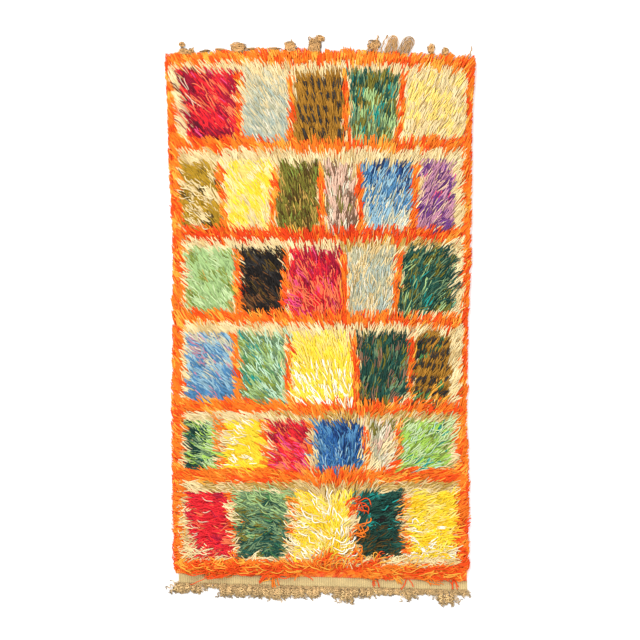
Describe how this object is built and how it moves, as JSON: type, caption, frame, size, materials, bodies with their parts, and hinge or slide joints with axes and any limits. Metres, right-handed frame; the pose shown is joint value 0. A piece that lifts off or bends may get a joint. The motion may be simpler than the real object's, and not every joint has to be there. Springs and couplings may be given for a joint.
{
  "type": "rya rug",
  "caption": "Long-pile wool rya rug with colour blocks in an orange grid on cream, a woven end band with curly fringe and knotted warp tufts.",
  "frame": {"origin": "on the floor, under the middle of the box around the whole rug", "axes": "+Z up out of the pile; +Y along the rug, from the fringed end band to the tufted heading, the way the pile lies; +X across the rug, to the right when it is seen from above with +Y up"},
  "size_m": [0.9644, 1.7586, 0.0273],
  "materials": {
    "pile_wool": "glossy long-staple wool pile in many dyed colours",
    "warp_wool": "matt undyed twisted wool"
  },
  "bodies": {
    "root": {"shag_pile": "pile_wool", "end_band_fringe": "warp_wool", "heading_tufts": "warp_wool"}
  },
  "joints": []
}
